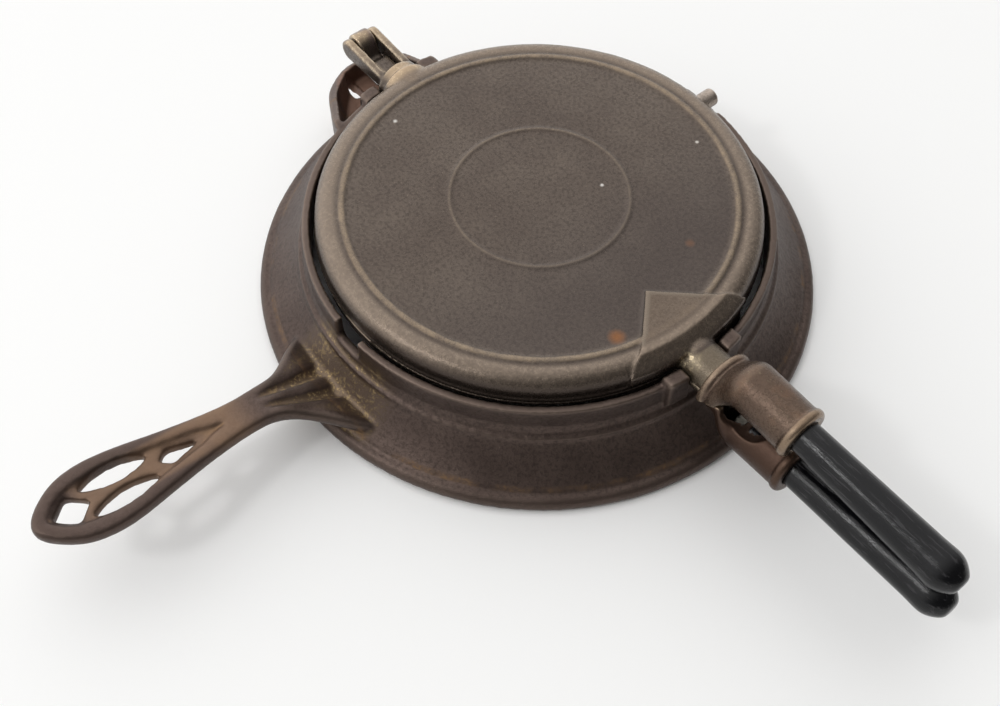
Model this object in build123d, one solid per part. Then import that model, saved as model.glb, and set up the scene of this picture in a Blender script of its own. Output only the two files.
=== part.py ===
from build123d import *
import math
import os

# Stovetop waffle iron: two hinged round paddles that turn over in a low
# ring base.  Millimetres.  The origin is the centre of the base ring in the
# plane of its bottom edge.  +Z is up, +X runs along the trunnion axis towards
# the paddle handles (the hinge is at -X) and -Y runs along the base handle.

# ---- paddles ---------------------------------------------------------------
AXIS_H = 37.0          # trunnion axis and parting plane of the paddles
PARTING = 0.15         # half of the gap between the closed paddles
PADDLE_R = 94.8        # radius of the thin lip at the parting plane
PADDLE_LIP = 1.5       # height of that lip
LIP_STEP = 0.7         # how far the side stands in from the lip
PADDLE_H = 11.0        # parting plane to the flat outer field
SHOULDER_R = 6.6       # rounding of the rim
RIM_RISE = 0.7         # rim crown above the field
RIM_BAND = 14.2        # rim between the lip and the edge of the flat field
FIELD_R = PADDLE_R - RIM_BAND
CROWN_IN = 2.0         # where the rim's crown starts to fall to the field
MEDAL_R = 37.7         # raised ring round the centre
MEDAL_LINE = 1.2       # its half width
MEDAL_RISE = 0.6
EDGE_W = 3.6           # rounded ridge round the field
EDGE_RISE = 1.0
PAN_EDGE = 4.8         # closing edge round the cooking face
PAN_R = PADDLE_R - PAN_EDGE
PLATE_T = 3.5          # plate thickness behind the grid
GUSSET_T = 1.4         # triangular plate at the neck
GUSSET_REACH = 16.1    # how far its tip runs in over the field
GUSSET_TIP = FIELD_R - GUSSET_REACH
GUSSET_HALF = 31.0     # its half width over the rim

# ---- base ring -------------------------------------------------------------
PADDLE_GAP = 2.0       # paddle's lip to the inside of the collar
COLLAR_WALL = 3.4
COLLAR_R = PADDLE_R + PADDLE_GAP + COLLAR_WALL   # outside of the upright collar
COLLAR_OVER = 1.5      # collar top above the trunnion axis
BASE_H = AXIS_H + COLLAR_OVER
SKIRT_SPREAD = 22.3    # how far the lip stands out from the collar
LIP_R = COLLAR_R + SKIRT_SPREAD   # outside of the rolled bottom lip
LIP_H = 6.4            # height of the lip
LIP_ROLL = 1.8         # radius of the lip's rounded edges
GROOVE_IN = 5.3        # lip's edge to the foot of the flared skirt
GROOVE_R = LIP_R - GROOVE_IN
GROOVE_H = 7.6
FOOT_W = 10.5          # width of the foot round the stove eye
EYE_R = LIP_R - FOOT_W # opening that drops over the stove eye
SKIRT_TOP_H = 23.4     # where the flared skirt meets the collar
WALL = 3.5             # casting wall of the flared skirt
BEAD_R = 0.9           # the two raised lines above the skirt
BEAD_GAP = 2.9         # distance between them, up the collar
BEAD_OUT = 2.6         # how far the lower one stands out from the collar
RUN_CLEAR = 0.35       # radial clearance of the trunnions in their notches

# ---- waffle grid -----------------------------------------------------------
GRID_T = 1.0           # skin under the studs
STUD_H = 4.2
STUD_W = 8.6           # width at the foot
STUD_PITCH = 12.4
STUD_TAPER = 12        # degrees
DIVIDER_W = 2.6        # cross that parts the four quarters
GRID_CLEAR = 0.1

# ---- trunnions and hinge ---------------------------------------------------
HORN_RISE = 3.0        # horns beside each trunnion stand above the collar
HORN_W = 9.6
HORN_PROUD = 2.6       # and outside it
NECK_R = 9.5           # handle-side trunnion
NECK_ROOT = 7.8        # how far it starts inside the paddle's lip
NECK_START = PADDLE_R - NECK_ROOT
NECK_OUT = 5.2         # its end beyond the horns
NECK_END = COLLAR_R + HORN_PROUD + NECK_OUT
BOSS_R = 11.2          # hinge-side trunnion beyond the hump
BOSS_OUT = 0.6         # its end beyond the collar
BOSS_END = COLLAR_R + BOSS_OUT
HUMP_STEP = 2.0        # round hump on the rim stands over the trunnion
HUMP_R = BOSS_R + HUMP_STEP
HUMP_CLEAR = 1.2       # hump to the inside of the collar
HUMP_END = COLLAR_R - COLLAR_WALL - HUMP_CLEAR
HUMP_L = 15.6          # length of the hump
HUMP_START = HUMP_END - HUMP_L
FINGER_L = 25.7        # hinge pin beyond the trunnion's end
PIN_X = BOSS_END + FINGER_L
PIN_RISE = 4.5         # and above the parting plane
PIN_R = 2.5
PIN_CLEAR = 0.05
LOBE_R = 6.0
FINGER_W = 9.0         # middle finger
FINGER_GAP = 0.35
FORK_T = 3.9           # each outer finger
FORK_R = 5.0           # round ends of the outer fingers
FORK_ROOT_TOP = 7.3    # top of the outer fingers where they leave the boss
FINGER_ROUND = 1.2
SHELF_RISE = 4.4       # root of the middle finger above the parting plane
SHELF_GAP = 0.5        # and clear of the other boss
PIN_SKIN = 1.2         # iron left over the blind ends of the pin

# ---- hinge pocket ----------------------------------------------------------
POCKET_WALL = 3.0
POCKET_CLEAR = 1.7     # fingers' ends to the pocket's end wall
POCKET_END = PIN_X + LOBE_R + POCKET_CLEAR + POCKET_WALL
POCKET_SIDE = 5.2      # room beside the hinge-side trunnion
POCKET_OPEN = BOSS_R + POCKET_SIDE
POCKET_FLARE = 21.0    # extra width where it sweeps into the collar
POCKET_BELOW = 16.5    # straight wall down to this far below the collar top
POCKET_DEPTH = 30.4    # outside of the bowl, below the collar top
POCKET_DRAW = 4.0      # how far the bottom of the bowl draws in
POCKET_FLOOR = 6.9     # thick floor, because the slots weaken it
RIM_SLOPE = 22.0       # degrees that the pocket's rim falls outwards
SLOT_CLEAR = 0.45      # slots under the two outer fingers
SLOT_LONG = 9.3
SLOT_SHIFT = 1.0       # their middle beyond the pin

# ---- stop peg --------------------------------------------------------------
PEG_R = 4.1
PEG_RISE = 4.5         # above the parting plane
PEG_PROUD = 1.6        # its end beyond the collar
PEG_END = COLLAR_R + PEG_PROUD
PEG_IN = 4.2           # how far it is set into the rim
PEG_ROOT = PADDLE_R - PEG_IN
PEG_FIT = 0.02
PEG_REST = 0.2         # peg to the floor of its notch
PEG_SIDE = 2.7         # peg to the sides of its notch
NOTCH_W = 2 * (PEG_R + PEG_SIDE)

# ---- paddle handles --------------------------------------------------------
LOWER_OUT = 2.0        # the lower handle stands this much further out
FLANGE_STEP = 4.2      # flange round the upper neck
LOWER_STEP = 1.5       # and round the lower one
FLANGE_T = 3.8
GRIP_R0 = 6.85         # grip at the socket
GRIP_R1 = 8.0          # grip near its end
GRIP_FIT = 0.12
SOCKET_SIDE = 3.45     # iron round the grip
SOCKET_R = GRIP_R0 + GRIP_FIT + SOCKET_SIDE
SOCKET_WALL = 2.6      # wall of the hollow arm
ARM_L = 11.2           # bent arm between the flange and the straight socket
SOCKET_START = NECK_END + FLANGE_T + ARM_L
SOCKET_L = 26.6
SOCKET_END = SOCKET_START + SOCKET_L
MOUTH_STEP = 0.9       # rounded ring at the mouth
MOUTH_R = SOCKET_R + MOUTH_STEP
MOUTH_T = 4.4
MOUTH_GAP = 0.2        # mouth ring to the parting plane
HANDLE_RISE = MOUTH_R + MOUTH_GAP   # handle axis above the parting plane
HANDLE_LEAN = 2.4      # degrees that the handles close towards their ends
BACK_WALL = 3.0
EYE_HALF = 6.6         # opening between the two bent arms
EYE_IN = 4.4           # from the flange
EYE_L = 20.0
GRIP_L = 74.0          # grip beyond the mouth
GRIP_END = SOCKET_END + GRIP_L
ROD_R = 3.0
ROD_IN = 52.0          # how far the rod runs into the grip past the mouth
ROD_FIT = 0.04
NUT_AF = 9.0
NUT_T = 4.0
STUD_R = 2.2           # stud that holds the handle to the neck
STUD_RISE = 4.3
STUD_AF = 7.0
STUD_IN = 12.0

# ---- base handle -----------------------------------------------------------
HANDLE_L = 114.0       # beyond the lip
HANDLE_END = LIP_R + HANDLE_L
HANDLE_T = 6.8
HANDLE_TIP_H = 36.5    # middle of the thickness at the tip
HANDLE_MID_H = 27.2    # and at the waist
HANDLE_MID_OUT = 28.5  # waist beyond the lip
HANDLE_MID_Y = LIP_R + HANDLE_MID_OUT
HANDLE_ROOT_H = 13.5
HANDLE_ROOT_IN = 5.5   # root inside the lip
HANDLE_ROOT_Y = LIP_R - HANDLE_ROOT_IN
HANDLE_EDGE = 2.2
RAIL_W = 6.2
# half widths of the handle at distances beyond the lip
HANDLE_WIDTHS = [(-18.5, 31), (-5.5, 23), (4.5, 14.5), (12.5, 10), (26.5, 8), (42.5, 9.4),
                 (57.5, 11.8), (72.5, 14.8), (85.5, 16.4), (97.5, 15), (107.5, 9.5)]
HANDLE_PLAN = [(LIP_R + out, half) for out, half in HANDLE_WIDTHS]
BAR_W = 3.8            # centre bar between the long windows
WEB_SINK = 1.8         # bars between the rails lie this much lower
RECESS_TIP = 14.0      # how far that hollow tapers beyond the diamond
HANG_L, HANG_HALF = 15.0, 6.4
HANG_END = 7.5         # iron left at the end of the handle
HANG_Y1 = HANDLE_END - HANG_END
HANG_Y0 = HANG_Y1 - HANG_L
LONG_L = 28.5          # the two long windows, reaching beside the hanging hole
LONG_BESIDE = 2.5
LONG_Y1 = HANG_Y0 + LONG_BESIDE
LONG_Y0 = LONG_Y1 - LONG_L
DIAMOND_L, DIAMOND_HALF = 17.0, 3.4
DIAMOND_BAR = 2.0      # bar between the diamond and the long windows
DIAMOND_Y1 = LONG_Y0 - DIAMOND_BAR
DIAMOND_Y0 = DIAMOND_Y1 - DIAMOND_L
ROOT_ARCH = 17.0       # how far the root falls away to its sides
FLUTE_R = 4.4          # two flutes leave three ribs over the skirt
FLUTE_SIDE = 6.3
FLUTE_DEEP = 3.0

PARTING_PLANE = Plane.XY.offset(AXIS_H)
BIG = 600.0


def above(height):
    """A large block whose underside is at the given height."""
    return Pos(0, 0, height + BIG / 2) * Box(BIG, BIG, BIG)


def along_x(radius, x0, x1, y=0.0, z=AXIS_H):
    """A round bar along X."""
    return Pos((x0 + x1) / 2, y, z) * Rot(0, 90, 0) * Cylinder(radius, x1 - x0)


def along_y(radius, y0, y1, x=0.0, z=AXIS_H):
    """A round bar along Y."""
    return Pos(x, (y0 + y1) / 2, z) * Rot(90, 0, 0) * Cylinder(radius, y1 - y0)


def block(x0, x1, y0, y1, z0, z1):
    return Pos((x0 + x1) / 2, (y0 + y1) / 2, (z0 + z1) / 2) * Box(x1 - x0, y1 - y0, z1 - z0)


def mirrored(part):
    """The same piece on the other side of the parting plane."""
    return mirror(part, about=PARTING_PLANE)


def skirt_line():
    """Outer foot and head of the flared skirt, as (radius, height)."""
    return (GROOVE_R, GROOVE_H), (COLLAR_R + BEAD_OUT, SKIRT_TOP_H)


def ring_outline():
    """Outer outline of the ring from the bottom lip to the collar top."""
    foot, head = skirt_line()
    r = LIP_ROLL
    return [
        Line((EYE_R, 0), (LIP_R - r, 0)),
        RadiusArc((LIP_R - r, 0), (LIP_R, r), -r),
        Line((LIP_R, r), (LIP_R, LIP_H - 2 * r)),
        RadiusArc((LIP_R, LIP_H - 2 * r), (LIP_R - 2 * r, LIP_H), -2 * r),
        Line((LIP_R - 2 * r, LIP_H), (GROOVE_R + 0.4, LIP_H)),
        Line((GROOVE_R + 0.4, LIP_H), foot),
        ThreePointArc(foot, ((foot[0] + head[0]) / 2 - 0.7, (foot[1] + head[1]) / 2 - 0.7), head),
        Line(head, (COLLAR_R, SKIRT_TOP_H + 3.4)),
        Line((COLLAR_R, SKIRT_TOP_H + 3.4), (COLLAR_R, BASE_H)),
    ]


def ring_body():
    """Lip, flared skirt and collar as one turned wall."""
    foot, head = skirt_line()
    run, rise = head[0] - foot[0], head[1] - foot[1]
    length = math.hypot(run, rise)
    off_r, off_z = -rise / length * WALL, run / length * WALL
    inner_r = COLLAR_R - COLLAR_WALL
    slope = rise / run
    line_z = lambda radius: foot[1] + off_z + slope * (radius - foot[0] - off_r)
    inner = [
        Line((COLLAR_R, BASE_H), (inner_r, BASE_H)),
        Line((inner_r, BASE_H), (inner_r, line_z(inner_r))),
        Line((inner_r, line_z(inner_r)), (EYE_R, line_z(EYE_R))),
        Line((EYE_R, line_z(EYE_R)), (EYE_R, 0)),
    ]
    section = Plane.XZ * make_face(Curve() + ring_outline() + inner)
    ring = revolve(section, Axis.Z)
    for rise in (0.2, 0.2 + BEAD_GAP):
        radius = head[0] if rise < 1 else COLLAR_R
        ring += Pos(0, 0, SKIRT_TOP_H + rise) * Torus(radius, BEAD_R)
    return ring


def ring_envelope():
    """Everything inside the outer face of the ring, to trim what joins it."""
    closing = [Line((COLLAR_R, BASE_H), (0, BASE_H)), Line((0, BASE_H), (0, 0)),
               Line((0, 0), (EYE_R, 0))]
    section = Plane.XZ * make_face(Curve() + ring_outline() + closing)
    return revolve(section, Axis.Z)


def horns(side, trunnion_r):
    """Two upright horns that keep a trunnion in its notch."""
    inner_r = COLLAR_R - COLLAR_WALL
    low = AXIS_H - trunnion_r - 1.0
    tall = BASE_H + HORN_RISE - low
    wall = Pos(0, 0, low + tall / 2) * (Cylinder(COLLAR_R + HORN_PROUD, tall) - Cylinder(inner_r, tall))
    pair = Part()
    for hand in (-1, 1):
        y0 = trunnion_r + RUN_CLEAR
        pad = block(inner_r - 30, COLLAR_R + HORN_PROUD, y0 - 0.5, y0 + HORN_W, low, low + tall)
        pad = fillet(pad.edges().filter_by(Axis.X).group_by(Axis.Z)[-1], 2.0)
        if hand < 0:
            pad = mirror(pad, about=Plane.XZ)
        if side < 0:
            pad = mirror(pad, about=Plane.YZ)
        pair += pad & wall
    return pair


def base_ring():
    ring = ring_body()
    for side, radius in ((1, NECK_R), (-1, BOSS_R)):
        ring += horns(side, radius)
        bore = radius + RUN_CLEAR
        far = COLLAR_R + HORN_PROUD + 5
        near = COLLAR_R - COLLAR_WALL - 30
        x0, x1 = sorted((side * near, side * far))
        ring -= along_x(bore, x0, x1)
        ring -= block(x0, x1, -bore, bore, AXIS_H, BASE_H + HORN_RISE + 5)
    for hand in (-1, 1):
        floor = AXIS_H + hand * PEG_RISE - PEG_R - PEG_REST
        y0, y1 = sorted((hand * (COLLAR_R - COLLAR_WALL - 5), hand * (COLLAR_R + 5)))
        ring -= block(-NOTCH_W / 2, NOTCH_W / 2, y0, y1, floor, BASE_H + 10)
    return ring


def pocket_plan(inset):
    """Plan of the hinge pocket: round outside, swept into the collar on the
    side that the wider fork passes through."""
    half = POCKET_OPEN + POCKET_WALL - inset
    end = POCKET_END - inset
    near = COLLAR_R - COLLAR_WALL - 12
    knee = end - half - 1
    wide = half + POCKET_FLARE
    edges = [
        Line((-near, half), (-knee, half)),
        ThreePointArc((-knee, half), (-knee - (half + 1) * 0.75, half * 0.64), (-end, 0)),
        Spline([(-end, 0), (-end + 6.8, -half * 0.80), (-end + 11.3, -half - 1.4),
                (-end + 18, -half - 6.8), (-end + 31, -half - 14), (-near, -wide)],
               tangents=[(0, -1), (1, -0.12)]),
        Line((-near, -wide), (-near, half)),
    ]
    return make_face(Curve() + edges)


def pocket_bowl(inset, floor, draw):
    """The bowl, solid: upright wall above and a drawn-in bottom below."""
    knee_z = BASE_H - POCKET_BELOW + inset * 0.4
    low_z = BASE_H - POCKET_DEPTH + floor
    plan = pocket_plan(inset)
    upright = Pos(0, 0, knee_z) * extrude(plan, BASE_H + 20 - knee_z, dir=(0, 0, 1))
    foot = pocket_plan(inset + draw)
    bottom = loft([Pos(0, 0, low_z) * foot, Pos(0, 0, knee_z) * plan], ruled=True)
    return upright + bottom


def hinge_pocket(ring):
    wall = pocket_bowl(0, 0, POCKET_DRAW) - pocket_bowl(POCKET_WALL, POCKET_FLOOR, POCKET_DRAW / 2)
    tilt = Pos(-COLLAR_R + 3, 0, BASE_H) * Rot(0, -RIM_SLOPE, 0)
    wall -= tilt * Pos(0, 0, BIG / 2) * Box(BIG, BIG, BIG)
    wall -= above(BASE_H)
    wall -= ring_envelope()
    wall -= ring
    wall -= along_x(BOSS_R + RUN_CLEAR, -COLLAR_R - HORN_PROUD - 1, -COLLAR_R + 10)
    near = FINGER_W / 2 + FINGER_GAP - SLOT_CLEAR
    wide = near + FORK_T + 2 * SLOT_CLEAR
    middle = -PIN_X - SLOT_SHIFT
    for y0, y1 in ((near, wide), (-wide, -near)):
        wall -= block(middle - SLOT_LONG / 2, middle + SLOT_LONG / 2, y0, y1, -5, AXIS_H - PIN_RISE)
    wall -= block(-LIP_R - 0.5, 0, -BIG, BIG, -5, LIP_H)
    return max(wall.solids(), key=lambda solid: solid.volume)


def handle_height(dist):
    """Middle of the handle's thickness at a distance from the centre."""
    slope = (HANDLE_TIP_H - HANDLE_MID_H) / (HANDLE_END - HANDLE_MID_Y)
    return HANDLE_MID_H + slope * (dist - HANDLE_MID_Y)


def handle_side():
    """Side view of the handle, swept up from the skirt: (distance, height)."""
    half = HANDLE_T / 2
    root_y, near = HANDLE_ROOT_Y, COLLAR_R - 2
    past = HANDLE_END + 10
    tip = handle_height(past)
    mid = HANDLE_MID_H
    top = Spline([(near, HANDLE_ROOT_H - 6), (root_y - 6, HANDLE_ROOT_H + 0.7), (root_y + 1, HANDLE_ROOT_H + 5),
                  (root_y + 9, HANDLE_ROOT_H + 8.5), (HANDLE_MID_Y - 8, mid + half - 1)],
                 tangents=[(1, 0.6), (1, 0.14)])
    low = Spline([(HANDLE_MID_Y - 8, mid - half - 1), (root_y + 8, HANDLE_ROOT_H + 1.5), (near, -1)],
                 tangents=[(-1, -0.25), (-1, -0.7)])
    edges = [
        top,
        Line((HANDLE_MID_Y - 8, mid + half - 1), (past, tip + half)),
        Line((past, tip + half), (past, tip - half)),
        Line((past, tip - half), (HANDLE_MID_Y - 8, mid - half - 1)),
        low,
        Line((near, -1), (near, HANDLE_ROOT_H - 6)),
    ]
    return make_face(Curve() + edges)


def handle_plan():
    """Plan of the handle with its rounded end."""
    right = [(half, -dist) for dist, half in HANDLE_PLAN]
    left = [(-half, -dist) for dist, half in HANDLE_PLAN]
    curve = Spline(right + [(0, -HANDLE_END)] + left[::-1])
    return make_face(Curve() + [curve, Line(left[0], right[0])])


def rail(dist):
    """Inner edge of the side rail at a distance from the centre."""
    for (d0, h0), (d1, h1) in zip(HANDLE_PLAN, HANDLE_PLAN[1:]):
        if d0 <= dist <= d1:
            return h0 + (h1 - h0) * (dist - d0) / (d1 - d0) - RAIL_W
    return 0.0


def root_arch():
    """Everything under the arched root, which falls away to both sides."""
    sections = []
    for dist, crown, fall in ((COLLAR_R - 4, HANDLE_ROOT_H + 4, ROOT_ARCH), (HANDLE_MID_Y - 6, HANDLE_MID_H + 9, ROOT_ARCH / 3)):
        edges = [Line((-40, -20), (40, -20)), Line((40, -20), (40, crown - fall)),
                 ThreePointArc((40, crown - fall), (0, crown), (-40, crown - fall)),
                 Line((-40, crown - fall), (-40, -20))]
        sections.append(Plane(origin=(0, -dist, 0), x_dir=(1, 0, 0), z_dir=(0, -1, 0)) * make_face(Curve() + edges))
    return loft(sections) + block(-40, 40, -HANDLE_END - 20, -HANDLE_MID_Y + 6, -20, 80)


def flute(hand):
    """A tapered scoop from the waist down to the skirt."""
    start = Vector(hand * 2.5, -HANDLE_MID_Y + 9, HANDLE_MID_H + HANDLE_T / 2 - 0.4)
    end = Vector(hand * FLUTE_SIDE, -HANDLE_ROOT_Y + 7, HANDLE_ROOT_H + FLUTE_DEEP)
    return loft([Plane(origin=start, z_dir=end - start) * Circle(1.2),
                 Plane(origin=end, z_dir=end - start) * Circle(FLUTE_R)])


def web_recess():
    """Room over the bars between the two side rails."""
    start = DIAMOND_Y0 - RECESS_TIP
    marks = [start + (HANG_Y1 + 2 - start) * i / 16 for i in range(17)]
    sides = [(rail(dist) * min(1.0, (dist - start) / RECESS_TIP), -dist) for dist in marks[1:]]
    sides = [(0, -start)] + sides
    plan = Polygon(*(sides + [(-x, y) for x, y in sides[:0:-1]]), align=None)
    slope = math.degrees(math.atan2(handle_height(HANDLE_END) - handle_height(HANDLE_MID_Y), HANDLE_END - HANDLE_MID_Y))
    floor = Pos(0, -HANG_Y0, handle_height(HANG_Y0) + HANDLE_T / 2 - WEB_SINK) * Rot(-slope, 0, 0)
    return extrude(plan, 80, dir=(0, 0, 1)) & (floor * Pos(0, 0, 30) * Box(80, 200, 60))


def base_handle(ring):
    side = extrude(Plane.YZ * mirror(handle_side(), about=Plane.YZ), 40, both=True)
    plan = extrude(handle_plan(), 60)
    handle = side & plan
    long_edges = [edge for edge in handle.edges()
                  if edge.center().Y < -COLLAR_R - 5 and edge.length > 2 * RAIL_W]
    handle = fillet(long_edges, HANDLE_EDGE)
    handle = handle & root_arch()
    handle -= web_recess()
    window = Polygon((0, -HANG_Y0), (HANG_HALF, -(HANG_Y0 + HANG_Y1) / 2), (0, -HANG_Y1),
                     (-HANG_HALF, -(HANG_Y0 + HANG_Y1) / 2), align=None)
    cutters = [fillet(window.vertices(), 1.2)]
    mid = (LONG_Y0 + LONG_Y1) / 2
    bar = BAR_W / 2
    for hand in (-1, 1):
        lens = Curve() + [
            ThreePointArc((hand * (bar + 3.2), -LONG_Y0), (hand * (rail(mid) + 0.3), -mid), (hand * (bar + 4.6), -LONG_Y1)),
            ThreePointArc((hand * (bar + 4.6), -LONG_Y1), (hand * bar, -mid), (hand * (bar + 3.2), -LONG_Y0))]
        cutters.append(make_face(lens))
    wide = DIAMOND_Y1 - 4
    cutters.append(Polygon((0, -DIAMOND_Y0), (DIAMOND_HALF, -wide), (0, -DIAMOND_Y1), (-DIAMOND_HALF, -wide), align=None))
    for cutter in cutters:
        handle -= extrude(cutter, 80, dir=(0, 0, 1))
    for hand in (-1, 1):
        handle -= flute(hand)
    handle -= ring_envelope()
    handle -= ring
    return max(handle.solids(), key=lambda solid: solid.volume)


def paddle_section(grow):
    """Half section of a paddle from the parting plane up, grown outwards."""
    side_r = PADDLE_R - LIP_STEP + grow
    top = PADDLE_H + grow
    crown = top + RIM_RISE
    return side_r, top, crown


def paddle_plate():
    """One paddle, closed face up: turned dish with rounded rim and rings."""
    side_r, top, crown = paddle_section(0)
    s = SHOULDER_R
    pan_floor = PADDLE_H - PLATE_T
    edges = [
        Line((PAN_R, PARTING), (PADDLE_R, PARTING)),
        Line((PADDLE_R, PARTING), (PADDLE_R, PADDLE_LIP)),
        Line((PADDLE_R, PADDLE_LIP), (side_r, PADDLE_LIP + 0.4)),
        Line((side_r, PADDLE_LIP + 0.4), (side_r, crown - s)),
        RadiusArc((side_r, crown - s), (side_r - s, crown), -s),
        Line((side_r - s, crown), (FIELD_R + EDGE_W + CROWN_IN, crown - 0.1)),
        Line((FIELD_R + EDGE_W + CROWN_IN, crown - 0.1), (FIELD_R + EDGE_W, top + 0.3)),
        ThreePointArc((FIELD_R + EDGE_W, top + 0.3), (FIELD_R + EDGE_W / 2, top + EDGE_RISE), (FIELD_R, top)),
        Line((FIELD_R, top), (0, top)),
        Line((0, top), (0, pan_floor)),
        Line((0, pan_floor), (PAN_R, pan_floor)),
        Line((PAN_R, pan_floor), (PAN_R, PARTING)),
    ]
    plate = revolve(Plane.XZ * make_face(Curve() + edges), Axis.Z)
    edges = [Line((MEDAL_R - MEDAL_LINE, top - 0.5), (MEDAL_R + MEDAL_LINE, top - 0.5)),
             Line((MEDAL_R + MEDAL_LINE, top - 0.5), (MEDAL_R + MEDAL_LINE, top)),
             ThreePointArc((MEDAL_R + MEDAL_LINE, top), (MEDAL_R, top + MEDAL_RISE), (MEDAL_R - MEDAL_LINE, top)),
             Line((MEDAL_R - MEDAL_LINE, top), (MEDAL_R - MEDAL_LINE, top - 0.5))]
    return plate + revolve(Plane.XZ * make_face(Curve() + edges), Axis.Z)


def gusset():
    """Triangular plate at the neck, flat over the field and creased at the rim."""
    side_r, top, crown = paddle_section(GUSSET_T)
    s = SHOULDER_R - 0.2
    inner = GUSSET_TIP - 9
    edges = [
        Line((inner, PADDLE_H - 1), (inner, top)),
        Line((inner, top), (FIELD_R + CROWN_IN, crown - 0.3)),
        Line((FIELD_R + CROWN_IN, crown - 0.3), (side_r - s, crown)),
        Line((side_r - s, crown), (side_r, crown - s + 1.2)),
        Line((side_r, crown - s + 1.2), (side_r, PADDLE_LIP + 1.2)),
        Line((side_r, PADDLE_LIP + 1.2), (PAN_R + 1, PADDLE_LIP + 1.2)),
        Line((PAN_R + 1, PADDLE_LIP + 1.2), (PAN_R + 1, PADDLE_H - 1)),
        Line((PAN_R + 1, PADDLE_H - 1), (inner, PADDLE_H - 1)),
    ]
    skin = revolve(Plane.XZ * make_face(Curve() + edges), Axis.Z)
    bend, wide, out = FIELD_R + 3.4, PAN_R, PADDLE_R + 3
    plan = Polygon((GUSSET_TIP, 0), (bend, 0.66 * GUSSET_HALF), (wide, GUSSET_HALF), (out, GUSSET_HALF + 5),
                   (out, -GUSSET_HALF - 5), (wide, -GUSSET_HALF), (bend, -0.66 * GUSSET_HALF), align=None)
    return skin & extrude(plan, 40, dir=(0, 0, 1))


def half_trunnions(neck_end):
    """Handle-side neck and hinge-side boss, both half round."""
    neck = along_x(NECK_R, NECK_START, neck_end, z=0)
    outline = make_face(Curve() + [
        Line((-BOSS_END, 0), (-BOSS_END, BOSS_R - 0.8)),
        Line((-BOSS_END, BOSS_R - 0.8), (-BOSS_END + 0.8, BOSS_R)),
        Line((-BOSS_END + 0.8, BOSS_R), (-HUMP_END, BOSS_R)),
        ThreePointArc((-HUMP_END, BOSS_R), (-HUMP_END + 0.5, HUMP_R - 0.6), (-HUMP_END + 1.6, HUMP_R)),
        Line((-HUMP_END + 1.6, HUMP_R), (-HUMP_START - 4, HUMP_R - 1.5)),
        ThreePointArc((-HUMP_START - 4, HUMP_R - 1.5), (-HUMP_START - 0.7, HUMP_R - 2.4), (-HUMP_START + 2, PADDLE_H - 1.5)),
        Line((-HUMP_START + 2, PADDLE_H - 1.5), (-HUMP_START + 2, 0)),
        Line((-HUMP_START + 2, 0), (-BOSS_END, 0)),
    ])
    boss = revolve(Plane.XZ * outline, Axis.X)
    cavity = Pos(0, 0, (PADDLE_H - PLATE_T) / 2) * Cylinder(PAN_R, PADDLE_H - PLATE_T)
    return ((neck + boss) & above(PARTING)) - cavity


def paddle_blank(out):
    """A paddle without its hinge fingers, in place, its neck longer by out."""
    blank = paddle_plate() + gusset() + half_trunnions(NECK_END + out)
    return Pos(0, 0, AXIS_H) * blank - Pos(out, 0, 0) * stud_hole()


def finger_face(nodes):
    """Outline round a row of discs, each (x, height above parting, radius)."""
    circles = [Pos(-x, AXIS_H + z, 0) * Circle(r) for x, z, r in nodes]
    return make_hull([edge for circle in circles for edge in circle.edges()])


def finger(nodes, y0, y1):
    """A flat finger with that outline between two planes of Y."""
    face = Plane.XZ * finger_face(nodes)
    solid = extrude(face, y1 - y0, dir=(0, 1, 0))
    return Pos(0, y0, 0) * solid


def rounded(solid, hand):
    """Round the edges of a finger's outer face."""
    face = solid.faces().sort_by(Axis.Y)[-1 if hand > 0 else 0]
    return fillet(face.edges(), FINGER_ROUND)


def pin_cut():
    length = FINGER_W + 2 * (FINGER_GAP + FORK_T - PIN_SKIN)
    return along_y(PIN_R + PIN_CLEAR, -length / 2, length / 2, x=-PIN_X, z=AXIS_H + PIN_RISE)


def upper_hinge_fork():
    """The two outer fingers, cast with the upper paddle's boss."""
    root = (BOSS_END - 1.5, FORK_ROOT_TOP - 3.6, 3.6)
    lobe = (PIN_X, PIN_RISE, FORK_R)
    fork = Part()
    inner = FINGER_W / 2 + FINGER_GAP
    for hand in (-1, 1):
        y0, y1 = sorted((hand * inner, hand * (inner + FORK_T)))
        fork += rounded(finger([root, lobe], y0, y1), hand)
    fork -= along_x(BOSS_R + 5, -BOSS_END, 0)
    return fork - pin_cut()


def lower_hinge_finger():
    """The middle finger, hooked up from the lower paddle's boss."""
    half = FINGER_W / 2
    heel = (PIN_X - 5.5, -3.2, 4.4)
    shelf = [(BOSS_END + 11, SHELF_RISE - 4.2, 4.2), (BOSS_END + 5, SHELF_RISE - 4.5, 4.5)]
    hook = finger([(PIN_X, PIN_RISE, LOBE_R), heel], -half, half)
    hook += finger([heel, (BOSS_END + 9, -2.4, 4.6)], -half, half)
    hook += finger(shelf + [(BOSS_END + 8, -3.0, 4.4)], -half, half)
    hook += finger([(BOSS_END + 9, -2.4, 4.6), (BOSS_END - 1.5, -5.3, 4.4)], -half, half)
    hook -= along_x(BOSS_R + 5, -BOSS_END, 0)
    hook -= block(-BOSS_END - SHELF_GAP, 0, -BIG / 2, BIG / 2, AXIS_H - PARTING, AXIS_H + BIG / 2)
    return hook - pin_cut()


def hinge_pin():
    length = FINGER_W + 2 * (FINGER_GAP + FORK_T - PIN_SKIN) - 0.2
    return along_y(PIN_R, -length / 2, length / 2, x=-PIN_X, z=AXIS_H + PIN_RISE)


def peg_hole():
    return along_y(PEG_R + PEG_FIT, PEG_ROOT - PEG_FIT, PEG_END + 5, z=AXIS_H + PEG_RISE)


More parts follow.
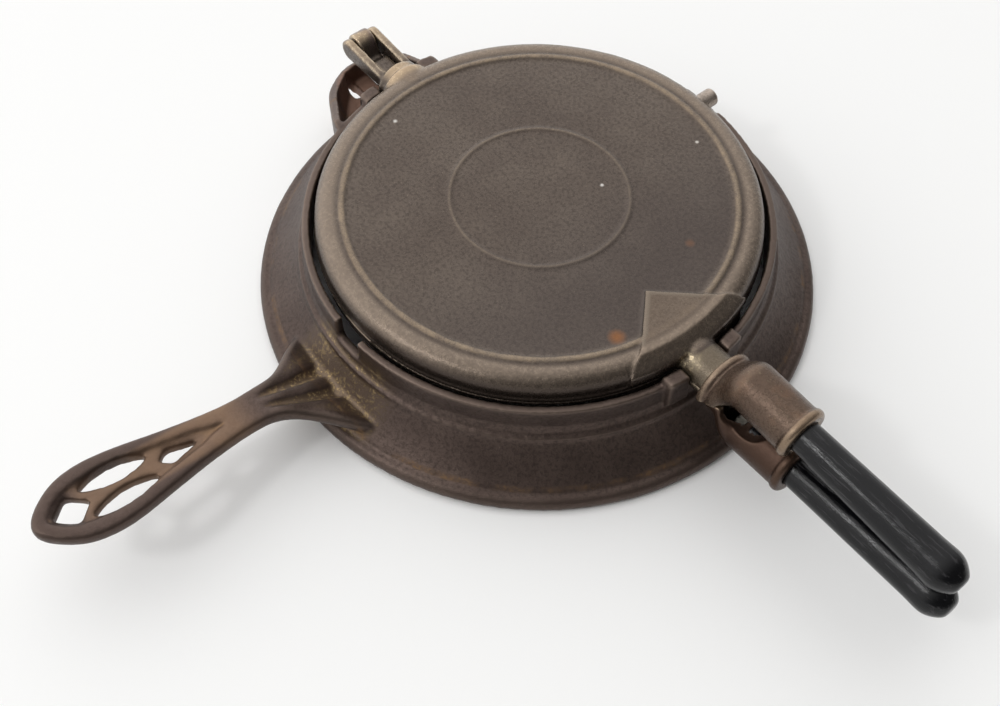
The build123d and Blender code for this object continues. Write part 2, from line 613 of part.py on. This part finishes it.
def stop_peg():
    peg = along_y(PEG_R, PEG_ROOT, PEG_END, z=AXIS_H + PEG_RISE)
    return fillet(peg.edges().sort_by(Axis.Y)[-1], 0.9)


def waffle_grid():
    """Studs in four quarters on a thin skin, closed face up, in place."""
    floor = PADDLE_H - PLATE_T
    radius = PAN_R - GRID_CLEAR
    skin = Pos(0, 0, floor - GRID_T / 2) * Cylinder(radius, GRID_T)
    first = DIVIDER_W / 2 + STUD_PITCH / 2 + 0.6
    count = int((radius - first) / STUD_PITCH) + 1
    steps = [first + STUD_PITCH * i for i in range(count)]
    places = [(a * x, b * y) for x in steps for y in steps for a in (-1, 1) for b in (-1, 1)
              if math.hypot(x + STUD_W / 2, y + STUD_W / 2) < radius - 0.5]
    foot = Sketch() + [Pos(x, y) * Rectangle(STUD_W, STUD_W) for x, y in places]
    foot += Rectangle(DIVIDER_W, 2 * radius - 6) + Rectangle(2 * radius - 6, DIVIDER_W)
    studs = extrude(Pos(0, 0, floor - GRID_T) * foot, STUD_H, dir=(0, 0, -1), taper=STUD_TAPER)
    return Pos(0, 0, AXIS_H) * (skin + studs)


def handle_axis():
    """Plane whose Z runs out along the upper handle, zero at the mouth."""
    lean = math.radians(HANDLE_LEAN)
    return Plane(origin=(SOCKET_END, 0, AXIS_H + HANDLE_RISE),
                 x_dir=(math.sin(lean), 0, math.cos(lean)),
                 z_dir=(math.cos(lean), 0, -math.sin(lean)))


def bar(radius, start, end):
    """A round bar on the handle axis between two distances from the mouth."""
    return handle_axis() * Pos(0, 0, (start + end) / 2) * Cylinder(radius, end - start)


def nut(radius, flats):
    """A plain hexagon nut with its bore, from 0 up."""
    return extrude(RegularPolygon(flats / 2, 6, major_radius=False) - Circle(radius), NUT_T)


def arm(wall, step):
    """The bent arm between the flange and the socket, drawn in by wall."""
    start = NECK_END + FLANGE_T
    depth = SOCKET_END - SOCKET_START
    rise = HANDLE_RISE + depth * math.sin(math.radians(HANDLE_LEAN))
    root = NECK_R + 0.4 + 0.62 * step
    steps = [(start - 0.2, 0.0, root, 0), (start + 0.26 * ARM_L, 0.22, root - 0.4, 6),
             (start + 0.55 * ARM_L, 0.64, SOCKET_R + 0.5, 8), (start + 0.85 * ARM_L, 0.95, SOCKET_R + 0.2, 2)]
    faces = []
    for x, share, radius, tilt in steps:
        angle = math.radians(tilt)
        plane = Plane(origin=(x, 0, AXIS_H + rise * share), x_dir=(-math.sin(angle), 0, math.cos(angle)),
                      z_dir=(math.cos(angle), 0, math.sin(angle)))
        faces.append(plane * Circle(radius - wall))
    faces.append(handle_axis() * Pos(0, 0, -depth) * Circle(SOCKET_R - wall))
    return loft(faces)


def handle_socket(step):
    """Flange, bent arm and socket of the upper handle."""
    flange = along_x(NECK_R + step, NECK_END, NECK_END + FLANGE_T)
    flange = fillet(flange.edges().filter_by(GeomType.CIRCLE), min(1.6, step))
    depth = SOCKET_END - SOCKET_START
    body = flange + arm(0, step) + bar(SOCKET_R, -depth, -0.5)
    mouth = bar(MOUTH_R, -MOUTH_T, 0)
    body += fillet(mouth.edges().filter_by(GeomType.CIRCLE), 2.0)
    body -= arm(SOCKET_WALL, step) - along_x(NECK_R + 20, 0, NECK_END + FLANGE_T)
    body -= bar(SOCKET_R - SOCKET_WALL - 0.4, -depth - 1.0, -depth + 1.5)
    body -= bar(GRIP_R0 + GRIP_FIT, -depth + 1.5 + BACK_WALL, 1)
    body -= bar(ROD_R + ROD_FIT, -depth - 5, 0)
    body -= along_x(STUD_R + ROD_FIT, 0, NECK_END + FLANGE_T + 1, z=AXIS_H + STUD_RISE)
    centre = NECK_END + FLANGE_T + EYE_IN + EYE_L / 2
    eye = Plane.XZ * Pos(centre, AXIS_H) * Ellipse(EYE_L / 2, EYE_HALF)
    body -= extrude(eye, 40, both=True)
    body = body & above(AXIS_H + PARTING)
    return max(body.solids(), key=lambda solid: solid.volume)


def grip():
    """Wooden grip with a rounded blind end and a bore for the rod."""
    lean = math.cos(math.radians(HANDLE_LEAN))
    start = -(SOCKET_END - SOCKET_START) + 1.5 + BACK_WALL + 0.3
    end = (GRIP_END - SOCKET_END) / lean
    r0, r1 = GRIP_R0, GRIP_R1
    edges = [
        Line((0, start), (r0, start)),
        Line((r0, start), (r0, 1.5)),
        Line((r0, 1.5), (r1, end - 16)),
        Spline([(r1, end - 16), (r1 * 0.93, end - 5), (r1 * 0.55, end - 0.9), (0, end)],
               tangents=[(0.02, 1), (-1, 0)]),
        Line((0, end), (0, start)),
    ]
    body = handle_axis() * revolve(Plane.XZ * make_face(Curve() + edges), Axis.Z)
    return body - bar(ROD_R + ROD_FIT, start - 1, ROD_IN + 0.5)


def grip_rod():
    depth = SOCKET_END - SOCKET_START
    return bar(ROD_R, -depth + 1.5 - NUT_T - 1.2, ROD_IN)


def rod_nut():
    depth = SOCKET_END - SOCKET_START
    return handle_axis() * Pos(0, 0, -depth + 1.5 - NUT_T) * nut(ROD_R + ROD_FIT, NUT_AF)


def neck_stud():
    return along_x(STUD_R, NECK_END - STUD_IN, NECK_END + FLANGE_T + NUT_T + 0.8, z=AXIS_H + STUD_RISE)


def stud_nut():
    return Pos(NECK_END + FLANGE_T, 0, AXIS_H + STUD_RISE) * Rot(0, 90, 0) * nut(STUD_R + ROD_FIT, STUD_AF)


def stud_hole():
    return along_x(STUD_R + ROD_FIT, NECK_END - STUD_IN - 0.3, NECK_END + 1, z=AXIS_H + STUD_RISE)


def build():
    """Every node of the iron by name."""
    upper, lower = paddle_blank(0), paddle_blank(LOWER_OUT)
    ring = base_ring()
    parts = {
        "base_ring": ring,
        "base_handle": base_handle(ring),
        "hinge_pocket": hinge_pocket(ring),
        "upper_paddle": upper - peg_hole(),
        "lower_paddle": mirrored(lower),
        "upper_waffle_grid": waffle_grid(),
        "lower_waffle_grid": mirrored(waffle_grid()),
        "upper_hinge_fork": upper_hinge_fork(),
        "lower_hinge_finger": lower_hinge_finger(),
        "hinge_pin": hinge_pin(),
        "stop_peg": stop_peg(),
    }
    parts["upper_handle_socket"] = handle_socket(FLANGE_STEP)
    parts["lower_handle_socket"] = mirrored(Pos(LOWER_OUT, 0, 0) * handle_socket(LOWER_STEP))
    handed = {
        "grip": grip(),
        "grip_rod": grip_rod(),
        "grip_rod_nut": rod_nut(),
        "neck_stud": neck_stud(),
        "neck_stud_nut": stud_nut(),
    }
    for name, part in handed.items():
        parts["upper_" + name] = part
        parts["lower_" + name] = mirrored(Pos(LOWER_OUT, 0, 0) * part)
    return parts


os.makedirs("parts", exist_ok=True)
for name, part in build().items():
    export_step(part, f"parts/{name}.step")
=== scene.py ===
import math

import bmesh
import bpy
import numpy as np
from mathutils import Matrix, Vector, noise


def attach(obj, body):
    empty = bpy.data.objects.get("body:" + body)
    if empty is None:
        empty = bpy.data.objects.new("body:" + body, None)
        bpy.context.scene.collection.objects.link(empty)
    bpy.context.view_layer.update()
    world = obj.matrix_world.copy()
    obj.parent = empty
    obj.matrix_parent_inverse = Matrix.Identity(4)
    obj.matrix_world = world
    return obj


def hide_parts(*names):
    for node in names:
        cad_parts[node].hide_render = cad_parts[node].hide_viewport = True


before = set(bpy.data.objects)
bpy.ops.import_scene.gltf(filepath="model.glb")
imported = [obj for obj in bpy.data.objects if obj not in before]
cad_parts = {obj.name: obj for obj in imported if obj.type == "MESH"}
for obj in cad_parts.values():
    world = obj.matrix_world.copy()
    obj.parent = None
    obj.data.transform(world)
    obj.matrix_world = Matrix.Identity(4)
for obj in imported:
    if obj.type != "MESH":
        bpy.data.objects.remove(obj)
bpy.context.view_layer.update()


# ---------------------------------------------------------------------------
# Table and tent
# The iron stands on a white table inside a light tent, which glows from the
# hinge side and is dim towards the grips. One small lamp hangs over the side
# of the base handle.

class Value:
    """A number or colour inside a finish. Sums on it become Math nodes."""

    def __init__(self, tree, out):
        self.tree, self.out = tree, out

    def math(self, operation, *values):
        node = self.tree.nodes.new("ShaderNodeMath")
        node.operation = operation
        for place, value in zip(node.inputs, values):
            if isinstance(value, Value):
                self.tree.links.new(value.out, place)
            else:
                place.default_value = value
        return Value(self.tree, node.outputs[0])

    def __add__(self, other):
        return self.math("ADD", self, other)

    def __sub__(self, other):
        return self.math("SUBTRACT", self, other)

    def __rsub__(self, other):
        return self.math("SUBTRACT", other, self)

    def __mul__(self, other):
        return self.math("MULTIPLY", self, other)

    def __pow__(self, other):
        return self.math("POWER", self, other)

    __radd__ = __add__
    __rmul__ = __mul__


class Finish:
    """A material being mixed, or the light of a world. node() adds one
    shader node and returns one of its outputs."""

    def __init__(self, name, kind=bpy.data.materials):
        self.made = kind.new(name)
        self.made.use_nodes = True
        self.tree = self.made.node_tree
        self.tree.nodes.clear()

    def node(self, kind, settings=None, values=None, out=0):
        node = self.tree.nodes.new("ShaderNode" + kind)
        for key, value in (settings or {}).items():
            setattr(node, key, value)
        for key, value in (values or {}).items():
            place = node.inputs[key]
            if isinstance(value, Value):
                self.tree.links.new(value.out, place)
            elif place.type == "RGBA":
                place.default_value = (*value, 1)
            else:
                place.default_value = value
        return Value(self.tree, node.outputs[out]) if len(node.outputs) else None

    def place(self):
        """Where on the object this is, in metres."""
        return self.node("TexCoord", out="Object")

    def split(self, vector):
        return [self.node("SeparateXYZ", values={"Vector": vector}, out=axis) for axis in "XYZ"]

    def away(self, at, spot):
        """How far this is from a spot, in metres."""
        return self.node("VectorMath", {"operation": "DISTANCE"}, {0: at, 1: spot}, out="Value")

    def cloud(self, at, size, detail=3.0, rough=0.55):
        """Soft patches about size metres across, from 0 to 1."""
        return self.node("TexNoise", values={"Vector": at, "Scale": 1 / size,
                                             "Detail": detail, "Roughness": rough})

    def between(self, value, none, full):
        """0 at none and 1 at full, smooth between them and level beyond."""
        return self.node("MapRange", {"interpolation_type": "SMOOTHSTEP"},
                         {"Value": value, "From Min": none, "From Max": full})

    def band(self, value, start, end):
        """1 inside a band. Start and end are the pairs none, full that it
        fades across."""
        return self.between(value, *start) * self.between(value, *end)

    def over(self, mask, under, top):
        """The colour top laid over under where the mask is 1. Sockets 6 and 7
        of a Mix node, and its output 2, are the ones for colour."""
        return self.node("Mix", {"data_type": "RGBA"}, {0: mask, 6: under, 7: top}, out=2)

    def skin(self, values):
        """The surface itself."""
        shader = self.node("BsdfPrincipled", values=values)
        self.node("OutputMaterial", values={"Surface": shader})


half = 3.0    # metres from the middle of the table to its edges
table_mesh = bpy.data.meshes.new("table")
table_mesh.from_pydata([(-half, -half, 0), (half, -half, 0), (half, half, 0), (-half, half, 0)],
                       [], [(0, 1, 2, 3)])
table = bpy.data.objects.new("table", table_mesh)
bpy.context.collection.objects.link(table)
table_white = Finish("table_white")
table_white.skin({"Base Color": (0.93, 0.93, 0.925), "Roughness": 0.55, "Specular IOR Level": 0.3})
table_mesh.materials.append(table_white.made)

# The lining glows from 0.14 up to 1.70, though it is seen as plain white.
glowing_side = (-0.97, -0.08, 0.22)
tent = Finish("tent", bpy.data.worlds)
bpy.context.scene.world = tent.made
facing = tent.node("VectorMath", {"operation": "DOT_PRODUCT"},
                   {0: tent.node("TexCoord", out="Generated"), 1: glowing_side}, out="Value")
glow = tent.node("MapRange", {"interpolation_type": "SMOOTHSTEP"},
                 {"Value": facing, "From Min": -0.66, "From Max": 0.9,
                  "To Min": 0.14, "To Max": 1.70})
lining = tent.node("Background", values={"Color": (1, 0.997, 0.992), "Strength": glow})
white = tent.node("Background", values={"Color": (1, 1, 1)})
seen = tent.node("Math", {"operation": "MAXIMUM"},
                 {0: tent.node("LightPath", out="Is Camera Ray"),
                  1: tent.node("LightPath", out="Is Transmission Ray")})
dome = tent.node("MixShader", values={0: seen, 1: lining, 2: white})
tent.node("OutputWorld", values={"Surface": dome})

lamp_place = Vector((-0.22, -1.19, 1.32))
lamp_aim = Vector((0, 0, 0.03))
key_lamp = bpy.data.lights.new("key_lamp", "AREA")
key_lamp.size = 0.20      # metres
key_lamp.energy = 3.2     # watts
lamp = bpy.data.objects.new("key_lamp", key_lamp)
bpy.context.collection.objects.link(lamp)
lamp.location = lamp_place
lamp.rotation_euler = (lamp_aim - lamp_place).to_track_quat("-Z", "Y").to_euler()

camera_place = (0.25511, -0.23132, 0.44412)
forward = Vector((-0.428751, 0.353707, -0.831302)).normalized()
roll = math.radians(0.34)
level = forward.cross(Vector((0, 0, 1))).normalized()
upright = level.cross(forward)
right = level * math.cos(roll) + upright * math.sin(roll)
up = upright * math.cos(roll) - level * math.sin(roll)
camera = bpy.data.objects.new("camera", bpy.data.cameras.new("camera"))
bpy.context.collection.objects.link(camera)
bpy.context.scene.camera = camera
turn = Matrix((right, up, -forward)).transposed().to_4x4()
camera.matrix_world = Matrix.Translation(camera_place) @ turn
camera.data.lens, camera.data.sensor_width = 45.0, 36.0
camera.data.clip_start, camera.data.clip_end = 0.01, 20.0
bpy.context.scene.view_settings.view_transform = "Standard"


# ---------------------------------------------------------------------------
# Base casting
# Ring with its rolled lip, flared skirt and collar, the openwork side handle
# and the hinge pocket are one piece of grey iron poured in sand. Every edge
# comes out rounded, and the skin is a little uneven.

def drawn_in(points, edges, share):
    """Points moved by a share of the way to the mean of their neighbours, or
    away from it where the share is below 0."""
    ends = np.concatenate([edges[:, 0], edges[:, 1]])
    starts = np.concatenate([edges[:, 1], edges[:, 0]])
    count = len(points)
    total = [np.bincount(ends, weights=points[starts, axis], minlength=count)
             for axis in range(3)]
    joined = np.maximum(np.bincount(ends, minlength=count), 1)
    mean = np.stack(total, axis=1) / joined[:, None]
    return points + share * (mean - points)


def melted(name, nodes, grain):
    """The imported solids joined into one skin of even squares, grain metres
    wide."""
    same_point = 2e-6
    made = bmesh.new()
    for node in nodes:
        made.from_mesh(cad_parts[node].data)
    bmesh.ops.remove_doubles(made, verts=made.verts, dist=same_point)
    mesh = bpy.data.meshes.new(name)
    made.to_mesh(mesh)
    made.free()
    rough = bpy.data.objects.new(name + "_rough", mesh)
    bpy.context.collection.objects.link(rough)
    melt = rough.modifiers.new("melt", "REMESH")
    melt.mode, melt.voxel_size, melt.use_smooth_shade = "VOXEL", grain, True
    view = bpy.context.evaluated_depsgraph_get()
    skin = bpy.data.meshes.new_from_object(rough.evaluated_get(view))
    bpy.data.objects.remove(rough)
    skin.name = name
    return skin


def casting(name, body, nodes, metal, grain, rounding, handled=None):
    """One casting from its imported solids: joined, rounded at every edge, and
    uneven as iron comes out of sand. It keeps how far each point bulges or
    sinks as the attribute bulge, in millimetres. Handled gives, from 0 to 1,
    how much softer the iron is at each point."""
    pull, push = 0.55, -0.50         # rounds edges without shrinking the walls
    wear_span = 0.0022               # how far handling softens an edge
    bulge_span = 0.0026              # how wide a bulge is taken
    swell, pebble = 60, 260          # waves of the uneven skin, per metre
    pebble_share = 0.35
    skin_depth = 0.00012
    done = melted(name, nodes, grain)
    count = len(done.vertices)
    points = np.empty(count * 3, np.float32)
    done.vertices.foreach_get("co", points)
    points = points.reshape(-1, 3).astype(np.float64)
    edges = np.empty(len(done.edges) * 2, np.int32)
    done.edges.foreach_get("vertices", edges)
    edges = edges.reshape(-1, 2)
    for step in range(max(2, int((rounding / grain) ** 2))):
        points = drawn_in(points, edges, pull)
        points = drawn_in(points, edges, push)
    for step in range(2):
        points = drawn_in(points, edges, 0.5)
    if handled:
        softer = 0.5 * handled(points)[:, None]
        for step in range(int((wear_span / grain) ** 2)):
            points = drawn_in(points, edges, softer)
    done.vertices.foreach_set("co", points.astype(np.float32).ravel())
    done.update()
    normals = np.empty(count * 3, np.float32)
    done.vertex_normals.foreach_get("vector", normals)
    normals = normals.reshape(-1, 3)
    smooth = points
    for step in range(max(4, int((bulge_span / grain) ** 2))):
        smooth = drawn_in(smooth, edges, 0.6)
    bulge = ((points - smooth) * normals).sum(axis=1) * 1000
    uneven = np.array([noise.noise(Vector(point) * swell)
                       + pebble_share * noise.noise(Vector(point) * pebble) for point in points])
    points = points + normals * (uneven * skin_depth)[:, None]
    done.vertices.foreach_set("co", points.astype(np.float32).ravel())
    kept = done.attributes.new("bulge", "FLOAT", "POINT")
    kept.data.foreach_set("value", bulge.astype(np.float32))
    done.polygons.foreach_set("use_smooth", [True] * len(done.polygons))
    done.update()
    done.materials.clear()
    done.materials.append(metal)
    piece = bpy.data.objects.new(name, done)
    bpy.context.collection.objects.link(piece)
    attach(piece, body)
    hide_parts(*nodes)


def iron(name, deep, plain, pale, worn=0.5, gloss=0.0, blotch=0.05, patches=None):
    """Old seasoned cast iron: dark brown skin with a sandy grain, rubbed pale
    where it bulges and dusty where it sinks. Patches gives each mask, colour
    and change of roughness that a piece adds."""
    dust_brown = (0.10, 0.070, 0.040)
    pits = tuple(0.45 * channel for channel in deep)
    cast = Finish(name)
    at = cast.place()
    broad = cast.cloud(at, 0.045, 4.0)
    patchy = cast.cloud(at, 0.012, 5.0, 0.6)
    sand = cast.cloud(at, 0.0016, 5.0, 0.78)
    specks = cast.cloud(at, 0.0010, 2.0, 0.6)
    bulge = cast.node("Attribute", {"attribute_name": "bulge"}, out="Fac")
    rub = cast.between(bulge + (sand - 0.5) * 0.6, 0.05, 0.60) * worn
    dust = cast.between((sand - 0.5) * 0.5 - bulge, 0.10, 0.60)
    colour = cast.over(cast.between(broad, 0.30, 0.70), deep, plain)
    colour = cast.over(cast.between(patchy, 0.45, 0.75) * blotch, colour, pale)
    colour = cast.over(cast.between(sand, 0.45, 0.62) * 0.6, colour, pits)
    colour = cast.over(rub, colour, pale)
    colour = cast.over(dust * 0.5, colour, dust_brown)
    colour = cast.over(cast.between(specks, 0.62, 0.80) * 0.3, colour, pale)
    satin = 0.41 - gloss
    rough = satin + (patchy - 0.5) * 0.12 + (sand - 0.5) * 0.3 - rub * 0.08 + dust * 0.25
    bare = 0.78 - dust * 0.5
    for mask, tone, duller in patches(cast, at, patchy, sand, bulge) if patches else ():
        colour = cast.over(mask, colour, tone)
        rough = rough + mask * duller
    height = sand * 0.00030 + specks * 0.00010 + patchy * 0.00015
    bump = cast.node("Bump", values={"Strength": 0.55, "Distance": 1.0, "Height": height})
    cast.skin({"Base Color": colour, "Roughness": rough, "Metallic": bare, "Normal": bump})
    return cast.made


def base_grime(cast, at, patchy, sand, bulge):
    """Brown scale inside the pocket, orange rust on the handle's web, and
    golden dust in its hollows, at its root and in the lip's groove."""
    x, y, z = cast.split(at)
    reach = (x * x + y * y) ** 0.5
    lumps = cast.between(sand + (patchy - 0.5) * 0.3, 0.50, 0.62)

    scale = (0.20, 0.115, 0.082)
    from_x, from_y = x + 0.1165, y + 0.0020      # from the middle of the pocket
    inside = cast.between((from_x * from_x + from_y * from_y) ** 0.5, 0.0190, 0.0165)
    yield inside * cast.between(z, 0.034, 0.024) * 0.85, scale, 0.15

    handle_brown, handle_gold = (0.080, 0.054, 0.045), (0.26, 0.160, 0.085)
    web_rust = (0.24, 0.148, 0.090)
    handle = cast.between(y, -0.124, -0.150)
    yield handle * 0.6, handle_brown, 0.0
    web = cast.band(y, (-0.142, -0.156), (-0.222, -0.214)) * cast.between(x * x, 0.00010, 0.00005)
    yield web * (0.2 + patchy * 0.6), web_rust, 0.05
    yield handle * cast.between(bulge, -0.05, -0.35) * 0.8, handle_gold, 0.1

    root_gold, root_spot = (0.50, 0.36, 0.18), (0.004, -0.114, 0.020)
    root = cast.between(cast.away(at, root_spot), 0.032, 0.014)
    yield root * (lumps * 0.65 + 0.12) * cast.between(bulge, 0.10, -0.10), root_gold, 0.2

    groove_rust = (0.25, 0.15, 0.08)
    groove = cast.band(reach, (0.1154, 0.1166), (0.1182, 0.1172)) * cast.between(z, 0.0050, 0.0062)
    yield groove * (lumps * 0.5 + 0.2) * cast.between(patchy, 0.42, 0.62), groove_rust, 0.25


def fade(value, start, width):
    """0 up to start, and 1 from there on after width."""
    return np.clip((value - start) / width, 0, 1)


def softened_base(points):
    """1 on the side handle with its root, 0.7 on the lugs beside the neck
    and 0.3 elsewhere."""
    x, y, z = points.T
    handle = fade(-y, 0.106, 0.004) * fade(z, 0.008, 0.004) * (abs(x) < 0.05)
    lugs = fade(x, 0.090, 0.003) * fade(z, 0.034, 0.002) * (abs(y) < 0.040)
    return np.maximum(handle, 0.3 + 0.4 * lugs)


base_iron = iron("base_iron", deep=(0.070, 0.048, 0.040), plain=(0.102, 0.072, 0.060),
                 pale=(0.25, 0.19, 0.15), worn=0.6, blotch=0.04, patches=base_grime)
casting("base_casting", "base", ["base_ring", "base_handle", "hinge_pocket"],
        base_iron, grain=0.00070, rounding=0.0014, handled=softened_base)


# ---------------------------------------------------------------------------
# Paddles
# Two round dishes of the same pattern, one turned over on the other. The
# rim of each is rubbed to a pewter shine by years of turning, and the humps
# and fingers at the hinge are rubbed brightest, with painted highlights as
# glints on them.

def paddle_wear(cast, at, patchy, sand, bulge):
    """The rim and the ridge inside it are worn pale, and darker towards the
    grips and down the rim's flank as painted shade. The field is given
    painted shade there too, and a few rust and bright spots sit on it."""
    x, y, z = cast.split(at)
    reach = (x * x + y * y) ** 0.5

    # painted shade: the rim darker on the grip side and more so down its flank; it also dims the
    # pale ridge and the rusty foot line there
    rim_painted_shade, pewter = (0.058, 0.043, 0.035), (0.24, 0.188, 0.145)
    shade_towards_grips = cast.between(x - y * 0.15, 0.0, 0.055) * cast.between(reach, 0.0835, 0.0855)
    side = 0.60 + cast.between(z, 0.0505, 0.0468) * 0.25
    yield shade_towards_grips * side * cast.between(reach, 0.0990, 0.0975), rim_painted_shade, 0.0
    rim = cast.band(reach, (0.0840, 0.0870), (0.0980, 0.0950)) * cast.between(z, 0.0440, 0.0475)
    yield rim * (0.45 + cast.between(sand, 0.40, 0.62) * 0.35), pewter, -0.05

    raised_pale, gusset_grey = (0.27, 0.197, 0.138), (0.15, 0.120, 0.093)
    raised = cast.between(z, 0.0487, 0.0492)     # the ridge, and the gusset at the neck
    yield raised * (0.08 + patchy * 0.28) * (1.0 - shade_towards_grips * 0.5), raised_pale, -0.04
    gusset = raised * cast.between(x, 0.040, 0.044) * cast.between(reach, 0.0870, 0.0850)
    yield gusset * cast.between(bulge, 0.03, 0.15) * 0.8, gusset_grey, 0.0

    hinge_gold, hinge_glint = (0.44, 0.325, 0.21), (0.66, 0.53, 0.36)
    knuckle_brown, fork_glint = (0.13, 0.090, 0.085), (0.60, 0.50, 0.36)
    hinge = cast.between(x, -0.0890, -0.0930) * cast.between(z, 0.0440, 0.0480)
    yield hinge * (0.35 + patchy * 0.6), hinge_gold, -0.14
    # painted highlight: bright specks as glints on the hinge humps
    yield hinge * cast.between(sand, 0.54, 0.64) * 0.5, hinge_glint, -0.08
    knuckle = cast.between(x, -0.1190, -0.1215) * cast.between(y * y, 0.000020, 0.000012)
    yield knuckle * cast.between(patchy + y * 60.0, 0.36, 0.62) * 0.75, knuckle_brown, 0.0
    # the fork fingers' edges: worn pale, with painted highlight as glints
    fork_edges = cast.between(x, -0.094, -0.097) * cast.between(bulge, 0.22, 0.40)
    yield fork_edges * cast.between(sand, 0.42, 0.56) * 0.35, fork_glint, -0.08

    field_shade, foot_rust = (0.056, 0.045, 0.042), (0.36, 0.27, 0.18)
    shade = cast.between(x, -0.010, 0.065) * cast.between(reach, 0.082, 0.078)
    yield shade * (1.0 - raised) * 0.5, field_shade, 0.0
    foot = cast.band(reach, (0.0806, 0.0818), (0.0842, 0.0832)) * (1.0 - raised * 0.8)
    broken = 0.05 + cast.between(sand, 0.38, 0.60) * 0.2 + cast.between(patchy, 0.40, 0.65) * 0.25
    yield foot * (1.0 - shade_towards_grips * 0.4) * broken, foot_rust, 0.0

    orange, brown = (0.27, 0.110, 0.038), (0.15, 0.080, 0.050)
    white_fleck, pale_fleck = (0.75, 0.72, 0.68), (0.70, 0.66, 0.60)
    field_top = 0.048
    for spot_x, spot_y, size, tone in ((0.0735, -0.0232, 0.0036, orange),
                                       (0.0579, 0.0309, 0.0022, brown),
                                       (0.0122, 0.0239, 0.0009, white_fleck),
                                       (-0.0720, -0.0214, 0.0010, white_fleck),
                                       (0.0197, 0.0720, 0.0009, pale_fleck)):
        ragged = cast.away(at, (spot_x, spot_y, field_top)) + (sand - 0.5) * size * 0.6
        yield cast.between(ragged, size * 1.3, size * 0.1) * 0.7, tone, 0.2

    neck_glint, neck_brown = (0.60, 0.49, 0.32), (0.18, 0.145, 0.095)
    neck_spot = (0.0975, -0.0070, 0.0430)
    glint = cast.between(cast.away(at, neck_spot), 0.0065, 0.0020)
    yield glint * (0.15 + cast.between(sand, 0.50, 0.60) * 0.65), neck_glint, -0.14
    neck = cast.between(reach, 0.0975, 0.0990) * cast.between(x, 0.085, 0.088)
    yield neck * (0.2 + patchy * 0.4), neck_brown, -0.04


def dress(nodes, metal):
    """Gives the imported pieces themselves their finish."""
    for node in nodes:
        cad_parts[node].data.materials.clear()
        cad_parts[node].data.materials.append(metal)


paddle_iron = iron("paddle_iron", deep=(0.080, 0.061, 0.050), plain=(0.104, 0.082, 0.067),
                   pale=(0.36, 0.285, 0.21), worn=0.8, gloss=0.12, blotch=0.03,
                   patches=paddle_wear)
casting("upper_casting", "upper_iron", ["upper_paddle", "upper_hinge_fork"],
        paddle_iron, grain=0.00060, rounding=0.0007)
casting("lower_casting", "lower_iron", ["lower_paddle", "lower_hinge_finger"],
        paddle_iron, grain=0.00080, rounding=0.0008)
dress(["upper_waffle_grid", "lower_waffle_grid"], paddle_iron)


# ---------------------------------------------------------------------------
# Handle arms
# Hollow bent arms with a flange at the neck and a rolled ring at the mouth,
# from a softer, browner iron than the paddles.

def arm_wear(cast, at, patchy, sand, bulge):
    """The upper arm is rubbed on its edges and flecked. The lower one is
    given a deeper brown as painted shadow, where the upper arm shades it."""
    rubbed, fleck = (0.42, 0.30, 0.19), (0.50, 0.40, 0.27)
    rust, painted_shadow_brown = (0.17, 0.090, 0.050), (0.058, 0.031, 0.021)
    x, y, z = cast.split(at)
    yield cast.between(bulge, 0.05, 0.35) * cast.between(x, 0.140, 0.146) * 0.2, rubbed, -0.05
    yield cast.between(patchy + cast.cloud(at, 0.02) * 0.6, 0.74, 1.0) * 0.3, rust, 0.05
    yield cast.between(sand, 0.60, 0.70) * 0.35, fleck, -0.08
    # painted shadow: the lower arm darkened where the upper arm shades it
    yield cast.between(z, 0.0372, 0.0360) * 0.9, painted_shadow_brown, 0.10


socket_iron = iron("socket_iron", deep=(0.095, 0.062, 0.045), plain=(0.135, 0.093, 0.068),
                   pale=(0.36, 0.27, 0.19), worn=0.8, gloss=0.14, patches=arm_wear)
for side in ("upper", "lower"):
    casting(side + "_arm", side + "_iron", [side + "_handle_socket"],
            socket_iron, grain=0.00045, rounding=0.0006)


# ---------------------------------------------------------------------------
# Grips
# Turned hardwood, blacked with enamel and worn by hands. The streaks of the
# brush run along the grip.

enamel, worn_enamel = (0.003, 0.003, 0.0038), (0.060, 0.058, 0.062)
streaks = (60, 700, 700)      # per metre, along and across the grip
black = Finish("grip_black")
at = black.place()
brushed = black.node("Mapping", values={"Vector": at, "Scale": streaks})
streak = black.node("TexNoise", values={"Vector": brushed, "Scale": 1.0,
                                        "Detail": 5.0, "Roughness": 0.65})
worn = black.between(streak, 0.54, 0.66)
black.skin({"Base Color": black.over(worn * 0.4, enamel, worn_enamel),
            "Roughness": 0.13 + worn * 0.28 + (black.cloud(at, 0.004) - 0.5) * 0.12,
            "Specular IOR Level": 0.30,
            "Normal": black.node("Bump", values={"Strength": 0.5, "Distance": 1.0,
                                                 "Height": streak * 0.0003})})
dress(["upper_grip", "lower_grip"], black.made)


# ---------------------------------------------------------------------------
# Pin, peg, rods, studs and nuts
# Plain steel bar and nuts, dulled by oil. The peg is rubbed bright.

dull_steel = iron("dull_steel", deep=(0.075, 0.070, 0.058), plain=(0.11, 0.10, 0.085),
                  pale=(0.22, 0.20, 0.17), gloss=0.05)
peg_steel = iron("peg_steel", deep=(0.30, 0.24, 0.20), plain=(0.40, 0.34, 0.29),
                 pale=(0.60, 0.52, 0.45), gloss=0.10)
dress(["stop_peg"], peg_steel)
dress(["hinge_pin"], dull_steel)
for part in ("_grip_rod", "_grip_rod_nut", "_neck_stud", "_neck_stud_nut"):
    dress(["upper" + part, "lower" + part], dull_steel)
